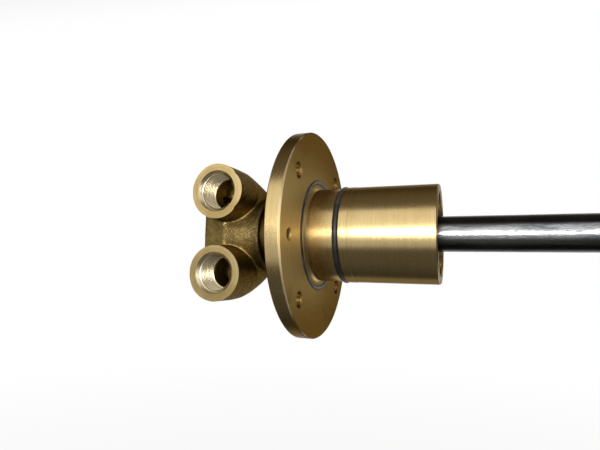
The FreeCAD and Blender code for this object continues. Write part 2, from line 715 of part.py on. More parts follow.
def port_head():
    """Casting with two bosses side by side, each bent into a hub and neck on the axis."""
    body = new_body("port_head")
    web = body.newObject("PartDesign::Pad", "web")
    web.Profile = web_outline(body)
    bind(web, Length="web_back + hub_radius")
    doc.recompute()
    round_web_back(body, web)

    revolve(body, "PartDesign::Revolution", "hub_and_neck", [
        ("port_along - hub_overhang", "0"),
        ("port_along - hub_overhang", "hub_radius - 2 * hub_round"),
        ("port_along - hub_overhang + 2 * hub_round", "hub_radius"),
        ("hub_end - neck_chamfer", "hub_radius"),
        ("hub_end", "hub_radius - neck_chamfer"),
        ("hub_end", "neck_radius"),
        ("neck_face - neck_chamfer", "neck_radius"),
        ("neck_face", "neck_radius - neck_chamfer"),
        ("neck_face", "0"),
    ])

    boss_sketch = new_sketch(body, "boss_circle", "XZ_Plane")
    bind(boss_sketch, AttachmentOffset__Base__z="bend_radius")
    add_circle(boss_sketch, "boss_radius", "port_along", "port_height")
    boss = body.newObject("PartDesign::Pad", "boss")
    boss.Profile = boss_sketch
    bind(boss, Length="port_reach - bend_radius")
    doc.recompute()
    mirror_up_down(body, "boss_below", boss)

    arm = sweep_arm(body, "PartDesign::AdditivePipe", "arm", 1, "boss_radius", "bend_end_radius")
    mirror_up_down(body, "arm_below", arm)

    # Ports: lead-in, thread bore and the cored cavity behind it
    bore_sketch = new_sketch(body, "port_outline")
    bind(bore_sketch, AttachmentOffset__Base__z="port_height", AttachmentOffset__Base__x="port_along")
    add_polygon(bore_sketch, [
        ("0", "0 - port_reach - 1"),
        ("port_thread_radius + port_chamfer", "0 - port_reach - 1"),
        ("port_thread_radius + port_chamfer", "0 - port_reach"),
        ("port_thread_radius", "port_chamfer - port_reach"),
        ("port_thread_radius", "port_thread_depth - port_reach"),
        ("cavity_radius", "port_thread_depth + port_thread_radius - cavity_radius - port_reach"),
        ("cavity_radius", "cavity_depth - port_reach"),
        ("cavity_radius - cavity_taper", "cavity_depth + cavity_taper - port_reach"),
        ("0", "cavity_depth + cavity_taper - port_reach"),
    ])
    port = body.newObject("PartDesign::Groove", "port_bore")
    port.Profile = bore_sketch
    port.ReferenceAxis = (bore_sketch, ["V_Axis"])
    port.Angle = 360
    doc.recompute()
    mirror_up_down(body, "port_bore_below", port)

    # Supply: a slot from the upper cavity to the chamber behind the partition
    slot_sketch = new_sketch(body, "supply_slot_outline")
    low = "supply_slot_shift * -1 - supply_slot_length / 2"
    high = "supply_slot_length / 2 - supply_slot_shift"
    add_polygon(slot_sketch, [
        ("supply_left", low), ("supply_left + supply_slot_width", low),
        ("supply_left + supply_slot_width", high), ("supply_left", high),
    ])
    slot = body.newObject("PartDesign::Pocket", "supply_slot")
    slot.Profile = slot_sketch
    slot.Reversed = True
    bind(slot, Length="port_height")
    doc.recompute()

    # Return: a bent passage from the lower cavity to the ring-shaped chamber round the pipe
    sweep_arm(body, "PartDesign::SubtractivePipe", "return_passage", -1, "return_passage_radius")

    revolve(body, "PartDesign::Groove", "axial_bores", [
        ("supply_left", "0"),
        ("supply_left", "supply_chamber_radius"),
        ("supply_right", "supply_chamber_radius"),
        ("supply_right", "pipe_socket_radius"),
        ("pipe_groove_start", "pipe_socket_radius"),
        ("pipe_groove_start", "pipe_socket_radius + pipe_oring_section"),
        ("pipe_groove_start + pipe_groove_width", "pipe_socket_radius + pipe_oring_section"),
        ("pipe_groove_start + pipe_groove_width", "pipe_socket_radius"),
        ("partition_end", "pipe_socket_radius"),
        ("partition_end + return_chamber_radius - pipe_socket_radius", "return_chamber_radius"),
        ("thread_end", "return_chamber_radius"),
        ("thread_end", "bearing_inner_radius + spindle_thread_clearance"),
        ("neck_face", "bearing_inner_radius + spindle_thread_clearance"),
        ("neck_face", "0"),
    ])
    return body


def siphon_pipe():
    turned_body("siphon_pipe", [
        ("pipe_start", "pipe_bore_radius"),
        ("pipe_end - pipe_chamfer", "pipe_bore_radius"),
        ("pipe_end", "pipe_bore_radius + pipe_chamfer"),
        ("pipe_end", "pipe_foot_radius - pipe_chamfer"),
        ("pipe_end - pipe_chamfer", "pipe_foot_radius"),
        ("pipe_end - pipe_foot_length", "pipe_foot_radius"),
        ("pipe_end - pipe_foot_length", "pipe_radius"),
        ("pipe_start + pipe_chamfer", "pipe_radius"),
        ("pipe_start", "pipe_radius - pipe_chamfer"),
    ])
    oring("pipe_oring", "pipe_groove_start + pipe_groove_width / 2",
          "pipe_radius + oring_play + (pipe_oring_section - oring_play) / 2",
          "pipe_oring_section - oring_play")


# Sliding face seal in the barrel's mouth

def seal_drive_collar():
    body = turned_body("seal_drive_collar", ring_outline(
        "collar_start", "spring_start", "bearing_inner_radius + oring_play", "collar_radius",
        "seal_edge_bevel"))
    drill(body, "collar_pin_holes", "collar_start - 1", "collar_width + 2",
          "pin_radius + drill_play", "pin_circle_radius", "0", "2")
    sketch = new_sketch(body, "screw_hole_circle", "XY_Plane")
    add_circle(sketch, "screw_radius + drill_play", "collar_start + collar_width / 2")
    hole = body.newObject("PartDesign::Pocket", "screw_holes")
    hole.Profile = sketch
    hole.SideType = "Symmetric"
    bind(hole, Length="2 * collar_radius + 2")
    doc.recompute()


def collar_set_screws():
    """Two grub screws with a hexagon socket, one above and one below the spindle."""
    screws = []
    for side in (1, -1):
        name = "upper" if side > 0 else "lower"
        blank = doc.addObject("Part::Cylinder", f"{name}_screw_blank")
        socket = doc.addObject("Part::Prism", f"{name}_screw_socket")
        bind(blank, Radius="screw_radius", Height="collar_radius - bearing_inner_radius - screw_sink",
             Placement__Base__z=f"{side} * (bearing_inner_radius + oring_play)")
        bind(socket, Circumradius="screw_socket_width / 2 / cos(30)", Height="screw_socket_depth + 1",
             Placement__Base__z=f"{side} * (collar_radius - screw_sink - screw_socket_depth)")
        socket.Polygon = 6
        for item in (blank, socket):
            bind(item, Placement__Base__x="collar_start + collar_width / 2")
            if side < 0:
                item.Placement.Rotation = FreeCAD.Rotation(FreeCAD.Vector(1, 0, 0), 180)
        screws.append(boolean("Part::Cut", f"{name}_screw", blank, socket))
    group = doc.addObject("Part::Compound", "collar_set_screws")
    group.Links = screws
    own_node(group)


def seal_drive_pins():
    pins = []
    for side in (1, -1):
        pin = cylinder(f"drive_pin_{side + 2}", "collar_start + pin_inset",
                       "pin_end - collar_start - pin_inset", "pin_radius")
        bind(pin, Placement__Base__y=f"{side} * pin_circle_radius")
        pins.append(pin)
    group = doc.addObject("Part::Compound", "seal_drive_pins")
    group.Links = pins
    own_node(group)


def seal_spring():
    """Round wire coil with both ends ground flat."""
    path = doc.addObject("Part::Helix", "spring_path")
    bind(path, Pitch="spring_length / spring_turns", Height="spring_length", Radius="spring_radius")
    place_along(path, "spring_start")
    section = doc.addObject("Part::Circle", "spring_section")
    bind(section, Radius="spring_wire_radius", Placement__Base__x="spring_start",
         Placement__Base__z="0 - spring_radius")
    section.Placement.Rotation = FreeCAD.Rotation(FreeCAD.Vector(1, 0, 0), 90)
    coil = doc.addObject("Part::Sweep", "spring_coil")
    coil.Sections = [section]
    coil.Spine = (path, [])
    coil.Solid = True
    coil.Frenet = True
    slab = cylinder("spring_slab", "spring_start", "spring_length", "spring_radius * 2")
    ground = boolean("Part::Common", "seal_spring", coil, slab)
    own_node(ground)


def carbon_seal_ring():
    body = turned_body("carbon_seal_ring", [
        ("carbon_start", "carbon_bore_radius + seal_edge_bevel"),
        ("carbon_start + seal_edge_bevel", "carbon_bore_radius"),
        ("carbon_groove_start", "carbon_bore_radius"),
        ("carbon_groove_start", "carbon_groove_floor"),
        ("carbon_groove_start + carbon_groove_width", "carbon_groove_floor"),
        ("carbon_groove_start + carbon_groove_width", "carbon_bore_radius"),
        ("carbon_end", "carbon_bore_radius"),
        ("carbon_end", "carbon_nose_inner"),
        ("seat_start", "carbon_nose_inner"),
        ("seat_start", "carbon_nose_outer"),
        ("carbon_end", "carbon_nose_outer"),
        ("carbon_end", "collar_radius - seal_edge_bevel"),
        ("carbon_end - seal_edge_bevel", "collar_radius"),
        ("carbon_start + seal_edge_bevel", "collar_radius"),
        ("carbon_start", "collar_radius - seal_edge_bevel"),
    ])
    drill(body, "carbon_pin_holes", "carbon_start - 1", "1 + pin_engagement + carbon_travel + pin_end_gap",
          "pin_radius + pin_clearance", "pin_circle_radius", "0", "2")
    oring("carbon_ring_oring", "carbon_groove_start + carbon_groove_width / 2",
          "bearing_inner_radius + oring_play + carbon_oring_section / 2", "carbon_oring_section")


def seal_seat():
    turned_body("seal_seat", [
        ("seat_start", "seat_bore_radius"),
        ("seat_start", "seat_outer_radius - seal_edge_bevel"),
        ("seat_start + seal_edge_bevel", "seat_outer_radius"),
        ("seat_groove_start", "seat_outer_radius"),
        ("seat_groove_start", "seat_groove_floor"),
        ("seat_groove_start + seat_groove_width", "seat_groove_floor"),
        ("seat_groove_start + seat_groove_width", "seat_outer_radius"),
        ("seat_circlip_start", "seat_outer_radius"),
        ("seat_circlip_start", "seat_bore_radius + seat_bore_chamfer"),
        ("seat_circlip_start - seat_bore_chamfer", "seat_bore_radius"),
    ])
    oring("seal_seat_oring", "seat_groove_start + seat_groove_width / 2",
          "seat_groove_floor + oring_play + seat_oring_section / 2", "seat_oring_section")
    circlip("seal_seat_circlip", "seat_circlip_start", "seat_circlip_thickness",
            "mouth_groove_floor - circlip_width", "mouth_groove_floor - circlip_play",
            "mouth_groove_floor - circlip_width")


def write_nodes():
    """Checks every object and writes each piece to its own file."""
    doc.recompute()
    failed = [item.Label for item in doc.Objects
              if "Invalid" in item.State or "Error" in item.State]
    failed += [item.Label for item in nodes if item.Shape.isNull() or not item.Shape.isValid()]
    if failed:
        raise RuntimeError("not built: " + ", ".join(failed))
    os.makedirs(PARTS_FOLDER, exist_ok=True)
    for item in nodes:
        item.Shape.exportStep(os.path.join(PARTS_FOLDER, item.Label + ".step"))


sheet = make_sheet()
flanged_barrel()
outside_seals()
bearing_set()
lip_seal()
hollow_spindle()
port_head()
siphon_pipe()
seal_drive_collar()
collar_set_screws()
seal_drive_pins()
seal_spring()
carbon_seal_ring()
seal_seat()
write_nodes()
print("pieces written:", len(nodes))
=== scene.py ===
import json
import math
import bmesh
import bpy
import numpy as np
from mathutils import Matrix, Vector, noise


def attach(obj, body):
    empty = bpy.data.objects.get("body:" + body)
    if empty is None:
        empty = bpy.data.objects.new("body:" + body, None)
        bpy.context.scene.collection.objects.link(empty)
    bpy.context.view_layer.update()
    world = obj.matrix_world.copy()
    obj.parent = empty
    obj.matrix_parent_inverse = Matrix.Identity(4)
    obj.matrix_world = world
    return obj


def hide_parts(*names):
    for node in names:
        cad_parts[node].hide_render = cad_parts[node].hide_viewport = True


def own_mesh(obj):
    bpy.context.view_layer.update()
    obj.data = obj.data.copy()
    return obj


# Looks of a two-way rotary union: turned brass, cast bronze, polished pipe

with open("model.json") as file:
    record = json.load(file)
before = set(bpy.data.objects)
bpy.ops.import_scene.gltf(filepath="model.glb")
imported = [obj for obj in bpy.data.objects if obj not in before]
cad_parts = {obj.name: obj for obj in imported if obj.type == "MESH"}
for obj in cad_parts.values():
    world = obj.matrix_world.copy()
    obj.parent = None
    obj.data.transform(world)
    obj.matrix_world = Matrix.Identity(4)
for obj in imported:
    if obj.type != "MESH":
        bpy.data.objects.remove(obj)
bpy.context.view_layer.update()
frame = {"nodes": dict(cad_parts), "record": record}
nodes = frame["nodes"]
scene = bpy.context.scene
print("stage: frame loaded,", len(nodes), "nodes")


# Helpers for node trees

def wire(tree, value, socket):
    if isinstance(value, bpy.types.NodeSocket):
        tree.links.new(value, socket)
    else:
        socket.default_value = value


def addNode(tree, kind, **inputs):
    node = tree.nodes.new(kind)
    for key, value in inputs.items():
        wire(tree, value, node.inputs[key])
    return node


def mathNode(tree, operation, *values, clamp=False):
    node = tree.nodes.new("ShaderNodeMath")
    node.operation = operation
    node.use_clamp = clamp
    for socket, value in zip(node.inputs, values):
        wire(tree, value, socket)
    return node.outputs[0]


def vectorNode(tree, operation, *values):
    node = tree.nodes.new("ShaderNodeVectorMath")
    node.operation = operation
    if operation == "SCALE":
        wire(tree, values[1], node.inputs["Scale"])
        values = values[:1]
    for socket, value in zip(node.inputs, values):
        wire(tree, value, socket)
    return node.outputs["Value"] if operation in ("LENGTH", "DOT_PRODUCT") else node.outputs[0]


def rangeNode(tree, value, low, high, outLow=0.0, outHigh=1.0):
    node = tree.nodes.new("ShaderNodeMapRange")
    node.interpolation_type = "SMOOTHSTEP"
    for socket, item in zip(node.inputs, (value, low, high, outLow, outHigh)):
        wire(tree, item, socket)
    return node.outputs[0]


def mixColour(tree, factor, first, second):
    node = tree.nodes.new("ShaderNodeMix")
    node.data_type = "RGBA"
    wire(tree, factor, node.inputs[0])
    wire(tree, first, node.inputs[6])
    wire(tree, second, node.inputs[7])
    return node.outputs[2]


def noiseNode(tree, vector, scale, detail, roughness):
    return addNode(tree, "ShaderNodeTexNoise", Vector=vector, Scale=scale, Detail=detail,
                   Roughness=roughness).outputs["Fac"]


def rgba(colour):
    return (*colour, 1.0)


# A shader node group with float, colour or vector sockets
def newGroup(name, inputs, outputs):
    group = bpy.data.node_groups.new(name, "ShaderNodeTree")
    kinds = {"f": "NodeSocketFloat", "c": "NodeSocketColor", "v": "NodeSocketVector"}
    for socket, kind in inputs:
        group.interface.new_socket(name=socket, in_out="INPUT", socket_type=kinds[kind])
    for socket, kind in outputs:
        group.interface.new_socket(name=socket, in_out="OUTPUT", socket_type=kinds[kind])
    source = group.nodes.new("NodeGroupInput")
    sink = group.nodes.new("NodeGroupOutput")
    return group, source.outputs, sink.inputs


def useGroup(tree, group, **inputs):
    node = tree.nodes.new("ShaderNodeGroup")
    node.node_tree = group
    for key, value in inputs.items():
        wire(tree, value, node.inputs[key])
    return node.outputs


def newMaterial(name):
    material = bpy.data.materials.new(name)
    material.use_nodes = True
    tree = material.node_tree
    tree.nodes.clear()
    shader = tree.nodes.new("ShaderNodeBsdfPrincipled")
    output = tree.nodes.new("ShaderNodeOutputMaterial")
    tree.links.new(shader.outputs[0], output.inputs[0])
    return material, tree, shader


def addBump(tree, shader, height, distance, strength=1.0):
    bump = addNode(tree, "ShaderNodeBump", Height=height, Distance=distance, Strength=strength)
    wire(tree, bump.outputs[0], shader.inputs["Normal"])


def objectPlace(tree):
    return tree.nodes.new("ShaderNodeTexCoord").outputs["Object"]


def separate(tree, place):
    return addNode(tree, "ShaderNodeSeparateXYZ", Vector=place).outputs


# Distance from the X axis
def outFromAxis(tree, place):
    return vectorNode(tree, "LENGTH", vectorNode(tree, "MULTIPLY", place, (0.0, 1.0, 1.0)))


# Effects shared by several materials

turnedEffect = {
    "around": 6.0,                        # how fast the rings change around the axis
    "rings": (3.0, 0.6),                  # detail and roughness of the noise
    "cloud": (38.0, 4.0, 0.55),           # scale, detail and roughness
}


# Rings left by a lathe: values change along the axis and outwards, hardly around it
def makeTurnedMarks(look):
    group, given, out = newGroup("turnedMarks",
                                 [("Place", "v"), ("Fine", "f"), ("Coarse", "f")],
                                 [("Fine Rings", "f"), ("Coarse Rings", "f"), ("Cloud", "f")])
    along, across, up = separate(group, given["Place"])
    outward = outFromAxis(group, given["Place"])
    around = mathNode(group, "ADD", mathNode(group, "MULTIPLY", across, look["around"]),
                      mathNode(group, "MULTIPLY", up, look["around"]))
    for rate in ("Fine", "Coarse"):
        ringPlace = addNode(group, "ShaderNodeCombineXYZ",
                            X=mathNode(group, "MULTIPLY", along, given[rate]),
                            Y=mathNode(group, "MULTIPLY", outward, given[rate]), Z=around)
        wire(group, noiseNode(group, ringPlace.outputs[0], 1.0, *look["rings"]), out[rate + " Rings"])
    wire(group, noiseNode(group, given["Place"], *look["cloud"]), out["Cloud"])
    return group


castEffect = {
    "grain": (3.0, 0.7),                  # detail and roughness of the noise
    "coarse": (3.0, 0.6),
    "coarseRate": 0.22,                   # against the grain's scale
    "pitRate": 0.55,
    "pitReach": 0.45,
    "heights": (0.6, 0.8, 0.25),          # of the grain, the coarse noise and the pits
    "sparkle": (0.55, 0.64),              # over this range of the grain
    "hollow": (0.36, 0.56),               # over this range of the coarse noise
    "cloud": (42.0, 3.0, 0.5),            # scale, detail and roughness
}


# Skin of a sand casting: grains, pits and a slow rise and fall
def makeCastGrain(look):
    group, given, out = newGroup("castGrain", [("Place", "v"), ("Grain", "f")],
                                 [("Height", "f"), ("Sparkle", "f"), ("Hollow", "f"), ("Cloud", "f")])
    grain = noiseNode(group, given["Place"], given["Grain"], *look["grain"])
    coarseScale = mathNode(group, "MULTIPLY", given["Grain"], look["coarseRate"])
    coarse = noiseNode(group, given["Place"], coarseScale, *look["coarse"])
    cells = addNode(group, "ShaderNodeTexVoronoi", Vector=given["Place"],
                    Scale=mathNode(group, "MULTIPLY", given["Grain"], look["pitRate"]))
    pit = rangeNode(group, cells.outputs["Distance"], 0.0, look["pitReach"])
    fine, wide, deep = (mathNode(group, "MULTIPLY", layer, height)
                        for layer, height in zip((grain, coarse, pit), look["heights"]))
    wire(group, mathNode(group, "ADD", fine, mathNode(group, "ADD", wide, deep)), out["Height"])
    wire(group, rangeNode(group, grain, *look["sparkle"]), out["Sparkle"])
    wire(group, rangeNode(group, coarse, *look["hollow"]), out["Hollow"])
    wire(group, noiseNode(group, given["Place"], *look["cloud"]), out["Cloud"])
    return group


wearEffect = {
    "thin": (4.0, 0.65),                  # detail and roughness of the noise
    "broad": (4.0, 0.6),
    "broadRate": 0.12,                    # against the scratches' scale
}


# Small scratches and dull patches for smooth metal
def makeFineWear(look):
    group, given, out = newGroup("fineWear", [("Place", "v"), ("Stretch", "v"), ("Scale", "f")],
                                 [("Scratch", "f"), ("Patch", "f")])
    pulled = vectorNode(group, "MULTIPLY", given["Place"], given["Stretch"])
    broadScale = mathNode(group, "MULTIPLY", given["Scale"], look["broadRate"])
    wire(group, noiseNode(group, pulled, given["Scale"], *look["thin"]), out["Scratch"])
    wire(group, noiseNode(group, pulled, broadScale, *look["broad"]), out["Patch"])
    return group


# Painted shade: metal is darkened and tinted where it is seen at a low angle, in place of the dark
# surroundings its reflections would show
def makeEdgeShade():
    group, given, out = newGroup("edgeShade", [("Colour", "c"), ("Tint", "c"), ("Facing", "f"), ("From", "f"),
                                               ("To", "f"), ("Least", "f")], [("Colour", "c")])
    amount = rangeNode(group, given["Facing"], given["From"], given["To"], 1.0, given["Least"])
    tinted = vectorNode(group, "MULTIPLY", given["Colour"], given["Tint"])
    mixed = mixColour(group, amount, tinted, given["Colour"])
    wire(group, vectorNode(group, "SCALE", mixed, amount), out["Colour"])
    return group


edgeShadeTint = (1.0, 0.93, 0.76)             # tint of the painted edge shade, unless a look has its own


# Puts the painted edge shade on a colour, with the facing read in the material itself
def shadeEdges(tree, colour, look):
    tint = rgba(look.get("tint", edgeShadeTint))
    facing = addNode(tree, "ShaderNodeLayerWeight", Blend=0.5).outputs["Facing"]
    return useGroup(tree, edgeShade, Colour=colour, Tint=tint, Facing=facing, **look["shade"])[0]


edgeShade = makeEdgeShade()
turnedMarks = makeTurnedMarks(turnedEffect)
castGrain = makeCastGrain(castEffect)
fineWear = makeFineWear(wearEffect)
print("stage: shared effects made")


# Brass, turned on a lathe

brassLook = {
    "bright": (0.73, 0.570, 0.290),
    "deep": (0.68, 0.515, 0.245),
    "deepToBright": (0.30, 0.72),         # over this range of the coarse rings
    "tarnish": (0.44, 0.30, 0.11),
    "tarnishRange": (0.56, 0.80),         # of the cloud
    "tarnishMost": 0.45,
    "tarnishDulls": 0.25,
    "roughness": 0.27,
    "ringSpread": 0.012,
    "anisotropy": 0.40,
    "ringTurn": 0.25,                     # of the anisotropy, as a share of a full turn
    "grazing": (0.48, 0.42, 0.36),
    "fineRings": 5200.0,
    "coarseRings": 900.0,
    "coarseHeight": 1.5,                  # against the fine rings
    "bump": 0.0000018,
    "shade": {"From": 0.14, "To": 0.80, "Least": 0.30},
    "rootShadeSkipped": 0.95,                    # share of the painted edge shade left off the barrel between its two rings
    "rootStart": (-0.0005, 0.0005),       # along X
    "rootEnd": (0.0190, 0.0230),
    "worn": (0.93, 0.80, 0.58),
    # lighter edges: wear at the barrel's mouth, and a painted highlight along the rim's chamfer
    "wornEdgesAndHighlight": ((-0.0004, 0.0746, 0.0007), (0.0858, 0.0338, 0.0004), (0.0863, 0.0295, 0.0004)),
    "wornRange": (0.35, 0.6),             # of the cloud
    "scribed": (0.0236, 0.0340, 0.00028),
    "scribedMost": 0.55,
}
faceLook = {                              # the flange's flat face
    "start": (-0.0015, -0.0008),          # along X
    "outside": (0.0345, 0.0355),          # radius
    "duller": 0.33,
    "paintedShade": (0.46, 0.37, 0.25),          # painted shade: the face is darkened all over
    # painted highlight: a lighter band across the middle of the face, strongest on the -Y side
    "paintedHighlight": (1.36, 1.34, 1.20),
    "paintedHighlightHeight": (0.004, 0.066),
    "paintedHighlightAcross": (-0.020, 0.030),
    "paintedHighlightLeast": 0.45,
}
scratchLook = {                           # across the rim, where a tool has slipped
    "slope": 0.23,
    "below": 0.0395,
    "halfWidth": (0.00008, 0.00026),
    "most": 0.8,
    "rim": (0.0742, 0.0746),              # radius
    "across": (-0.055, -0.050),
}


# One close to the circle at this distance along the axis and out from it
def ringMask(tree, place, along, outward, width):
    off = addNode(tree, "ShaderNodeCombineXYZ",
                  X=mathNode(tree, "SUBTRACT", separate(tree, place)[0], along),
                  Y=mathNode(tree, "SUBTRACT", outFromAxis(tree, place), outward))
    return rangeNode(tree, vectorNode(tree, "LENGTH", off.outputs[0]), width * 0.5, width, 1.0, 0.0)


def scratchMask(tree, place, look):
    along, across, up = separate(tree, place)
    rise = mathNode(tree, "MULTIPLY", along, look["slope"])
    off = mathNode(tree, "ADD", mathNode(tree, "ADD", up, rise), look["below"])
    line = rangeNode(tree, mathNode(tree, "ABSOLUTE", off), *look["halfWidth"], look["most"], 0.0)
    onRim = mathNode(tree, "MULTIPLY", rangeNode(tree, outFromAxis(tree, place), *look["rim"]),
                     rangeNode(tree, across, *look["across"], 1.0, 0.0))
    return mathNode(tree, "MULTIPLY", line, onRim)


# Painted shade and a painted highlight: what the flange's face multiplies its colour by
def faceShadeAndHighlight(tree, place, look):
    _, across, up = separate(tree, place)
    height = mathNode(tree, "ABSOLUTE", up)
    paintedHighlight = mathNode(tree, "MULTIPLY", rangeNode(tree, height, *look["paintedHighlightHeight"], 1.0, 0.0),
                     rangeNode(tree, across, *look["paintedHighlightAcross"], 1.0, look["paintedHighlightLeast"]))
    return mixColour(tree, paintedHighlight, rgba(look["paintedShade"]), rgba(look["paintedHighlight"]))


def makeTurnedBrass(name, look):
    material, tree, shader = newMaterial(name)
    place = objectPlace(tree)
    along = separate(tree, place)[0]
    marks = useGroup(tree, turnedMarks, Place=place, Fine=look["fineRings"], Coarse=look["coarseRings"])
    tone = rangeNode(tree, marks["Coarse Rings"], *look["deepToBright"])
    colour = mixColour(tree, tone, rgba(look["deep"]), rgba(look["bright"]))
    tarnish = rangeNode(tree, marks["Cloud"], *look["tarnishRange"], 0.0, look["tarnishMost"])
    colour = mixColour(tree, tarnish, colour, rgba(look["tarnish"]))
    # the barrel between its two rings is spared most of the painted edge shade
    root = mathNode(tree, "MULTIPLY", rangeNode(tree, along, *look["rootStart"]),
                    rangeNode(tree, along, *look["rootEnd"], look["rootShadeSkipped"], 0.0))
    colour = mixColour(tree, root, shadeEdges(tree, colour, look), colour)
    # painted shade and a painted highlight on the flange's flat face
    face = mathNode(tree, "MULTIPLY", rangeNode(tree, along, *faceLook["start"]),
                    rangeNode(tree, outFromAxis(tree, place), *faceLook["outside"]))
    faceColour = vectorNode(tree, "MULTIPLY", colour, faceShadeAndHighlight(tree, place, faceLook))
    colour = mixColour(tree, face, colour, faceColour)
    colour = mixColour(tree, scratchMask(tree, place, scratchLook), colour, rgba(look["worn"]))
    # worn edges, and the painted highlight on the rim's chamfer
    for ring in look["wornEdgesAndHighlight"]:
        worn = mathNode(tree, "MULTIPLY", ringMask(tree, place, *ring),
                        rangeNode(tree, marks["Cloud"], *look["wornRange"]))
        colour = mixColour(tree, worn, colour, rgba(look["worn"]))
    scribed = mathNode(tree, "MULTIPLY", ringMask(tree, place, *look["scribed"]), look["scribedMost"])
    colour = mixColour(tree, scribed, colour, rgba(look["tarnish"]))
    wire(tree, colour, shader.inputs["Base Color"])
    shader.inputs["Specular Tint"].default_value = rgba(look["grazing"])
    spread = mathNode(tree, "MULTIPLY", mathNode(tree, "SUBTRACT", marks["Fine Rings"], 0.5),
                      look["ringSpread"] * 2)
    dull = mathNode(tree, "ADD", spread, mathNode(tree, "MULTIPLY", tarnish, look["tarnishDulls"]))
    rough = mathNode(tree, "ADD", look["roughness"], dull)
    rough = mathNode(tree, "ADD", rough, mathNode(tree, "MULTIPLY", face, faceLook["duller"]))
    wire(tree, rough, shader.inputs["Roughness"])
    shader.inputs["Metallic"].default_value = 1.0
    shader.inputs["Anisotropic"].default_value = look["anisotropy"]
    shader.inputs["Anisotropic Rotation"].default_value = look["ringTurn"]
    tangent = tree.nodes.new("ShaderNodeTangent")
    tangent.direction_type = "RADIAL"
    tangent.axis = "X"
    wire(tree, tangent.outputs[0], shader.inputs["Tangent"])
    coarse = mathNode(tree, "MULTIPLY", marks["Coarse Rings"], look["coarseHeight"])
    addBump(tree, shader, mathNode(tree, "ADD", marks["Fine Rings"], coarse), look["bump"])
    return material


# Bronze, rough from the sand mould

portAxis = {"along": -0.062, "height": 0.02875}    # the upper port's; the lower one is as far down
castLook = {
    "hollow": (0.12, 0.078, 0.022),
    "hollowMost": 0.38,
    "skin": (0.31, 0.215, 0.066),
    "worn": (0.40, 0.290, 0.100),
    "skinToWorn": (0.35, 0.65),           # over this range of the cloud
    "sparkle": (0.85, 0.72, 0.38),
    "sparkleMost": (0.25, 0.80),          # where it is fettled, and where it is sandy
    "grain": 1200.0,
    "bump": 0.00034,
    "bumpStrength": (0.45, 1.0),          # where it is fettled, and where it is sandy
    "roughness": (0.48, 0.28),            # between the glints, and on them
    "grazing": (0.68, 0.58, 0.46),
    "fettled": (-0.0665, -0.0635),        # the web's plate, rubbed smoother, ends here along X
    "fettledTone": 0.60,
    "nearFlangeShade": (-0.050, -0.036),            # painted shade: darker from here to the neck, next to the flange
    "nearFlangeShadeTone": 0.34,
    "cored": (0.0122, 0.0135),            # the passages, by radius about a port's axis
    "paintedPassageLight": 1.7,                     # painted light: the passages are made brighter than the outside
    "shade": {"From": 0.15, "To": 0.80, "Least": 0.34},
}


# Object coordinates about the nearer port's axis, with that axis first
def placeAboutPort(tree):
    along, across, up = separate(tree, objectPlace(tree))
    height = mathNode(tree, "MULTIPLY", mathNode(tree, "SIGN", up), portAxis["height"])
    return addNode(tree, "ShaderNodeCombineXYZ", X=across,
                   Y=mathNode(tree, "SUBTRACT", along, portAxis["along"]),
                   Z=mathNode(tree, "SUBTRACT", up, height)).outputs[0]


def makeCastBronze(name, look):
    material, tree, shader = newMaterial(name)
    place = objectPlace(tree)
    along = separate(tree, place)[0]
    grain = useGroup(tree, castGrain, Place=place, Grain=look["grain"])
    sandy = rangeNode(tree, along, *look["fettled"])
    cloud = rangeNode(tree, grain["Cloud"], *look["skinToWorn"])
    colour = mixColour(tree, cloud, rgba(look["skin"]), rgba(look["worn"]))
    dull = mathNode(tree, "MULTIPLY", mathNode(tree, "SUBTRACT", 1.0, grain["Hollow"]), look["hollowMost"])
    colour = mixColour(tree, dull, colour, rgba(look["hollow"]))
    most = rangeNode(tree, sandy, 0.0, 1.0, *look["sparkleMost"])
    glint = mathNode(tree, "MULTIPLY", grain["Sparkle"], most)
    colour = mixColour(tree, glint, colour, rgba(look["sparkle"]))
    fromPort = outFromAxis(tree, placeAboutPort(tree))
    # the web's plate is darker; painted shade next to the flange; painted light in the passages
    for tone in (rangeNode(tree, sandy, 0.0, 1.0, look["fettledTone"], 1.0),
                 rangeNode(tree, along, *look["nearFlangeShade"], 1.0, look["nearFlangeShadeTone"]),
                 rangeNode(tree, fromPort, *look["cored"], look["paintedPassageLight"], 1.0)):
        colour = vectorNode(tree, "SCALE", colour, tone)
    wire(tree, shadeEdges(tree, colour, look), shader.inputs["Base Color"])
    wire(tree, rangeNode(tree, grain["Sparkle"], 0.0, 1.0, *look["roughness"]), shader.inputs["Roughness"])
    shader.inputs["Metallic"].default_value = 1.0
    shader.inputs["Specular Tint"].default_value = rgba(look["grazing"])
    strength = rangeNode(tree, sandy, 0.0, 1.0, *look["bumpStrength"])
    addBump(tree, shader, grain["Height"], look["bump"], strength)
    return material


# Machined places on the casting: the marks run round each port's own axis

machinedLooks = {
    "face": {"bright": (0.78, 0.62, 0.32), "deep": (0.46, 0.33, 0.12), "roughness": 0.30,
             "ringSpread": 0.05, "fineRings": 4200.0, "coarseRings": 1100.0, "bump": 0.000008,
             "aboutPort": True, "shade": {"From": 0.5, "To": 1.0, "Least": 0.5}},
    "thread": {"bright": (0.84, 0.77, 0.58), "deep": (0.62, 0.52, 0.32), "roughness": 0.30,
               "ringSpread": 0.14, "fineRings": 2600.0, "coarseRings": 700.0, "bump": 0.00003,
               "aboutPort": True, "shade": {"From": 0.6, "To": 1.0, "Least": 0.4}},
    # painted shade: the neck between hub and flange is near black
    "neck": {"bright": (0.16, 0.105, 0.035), "deep": (0.11, 0.07, 0.022), "roughness": 0.32,
             "ringSpread": 0.08, "fineRings": 4200.0, "coarseRings": 1100.0, "bump": 0.00001,
             "aboutPort": False, "shade": {"From": 0.1, "To": 0.8, "Least": 0.15}},
}
machinedTone = {"rings": (0.30, 0.70), "cloud": (0.35, 0.65)}    # half of the tone is from each


